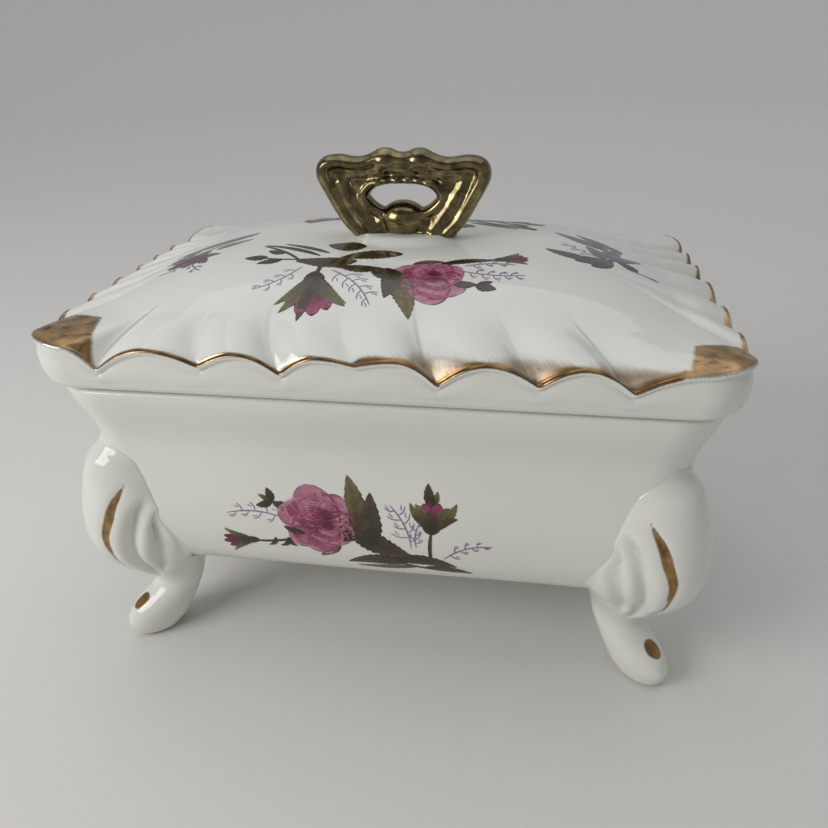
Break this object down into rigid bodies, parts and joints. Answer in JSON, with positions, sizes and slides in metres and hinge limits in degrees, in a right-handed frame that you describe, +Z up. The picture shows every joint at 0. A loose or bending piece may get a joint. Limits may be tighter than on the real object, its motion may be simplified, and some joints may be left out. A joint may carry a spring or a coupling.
{
  "type": "butter dish",
  "caption": "Rectangular porcelain butter dish on scroll feet, with a scalloped lift-off lid and a gilded loop handle",
  "frame": {"origin": "centre of the box on the table, under the middle of the dish", "axes": "+X along the length to the right, +Y to the back, +Z up"},
  "size_m": [0.171, 0.119, 0.1335],
  "materials": {
    "dish_porcelain": "clear gloss glaze over white porcelain, rose transfers under a fired glaze",
    "foot_porcelain": "clear gloss glaze over white porcelain, gilded grooves",
    "lid_porcelain": "clear gloss glaze over white porcelain, brushed gold edge and rose transfers",
    "handle_gold_lustre": "glazed porcelain covered in fired gold lustre"
  },
  "bodies": {
    "base": {"dish": "dish_porcelain", "foot_front_left": "foot_porcelain", "foot_front_right": "foot_porcelain", "foot_rear_left": "foot_porcelain", "foot_rear_right": "foot_porcelain"},
    "cover": {"lid": "lid_porcelain", "handle": "handle_gold_lustre"}
  },
  "joints": [
    {"name": "lid_lift", "type": "slide", "parent": "base", "child": "cover", "axis": [0, 0, 1], "range_m": [0, 0.08]}
  ]
}
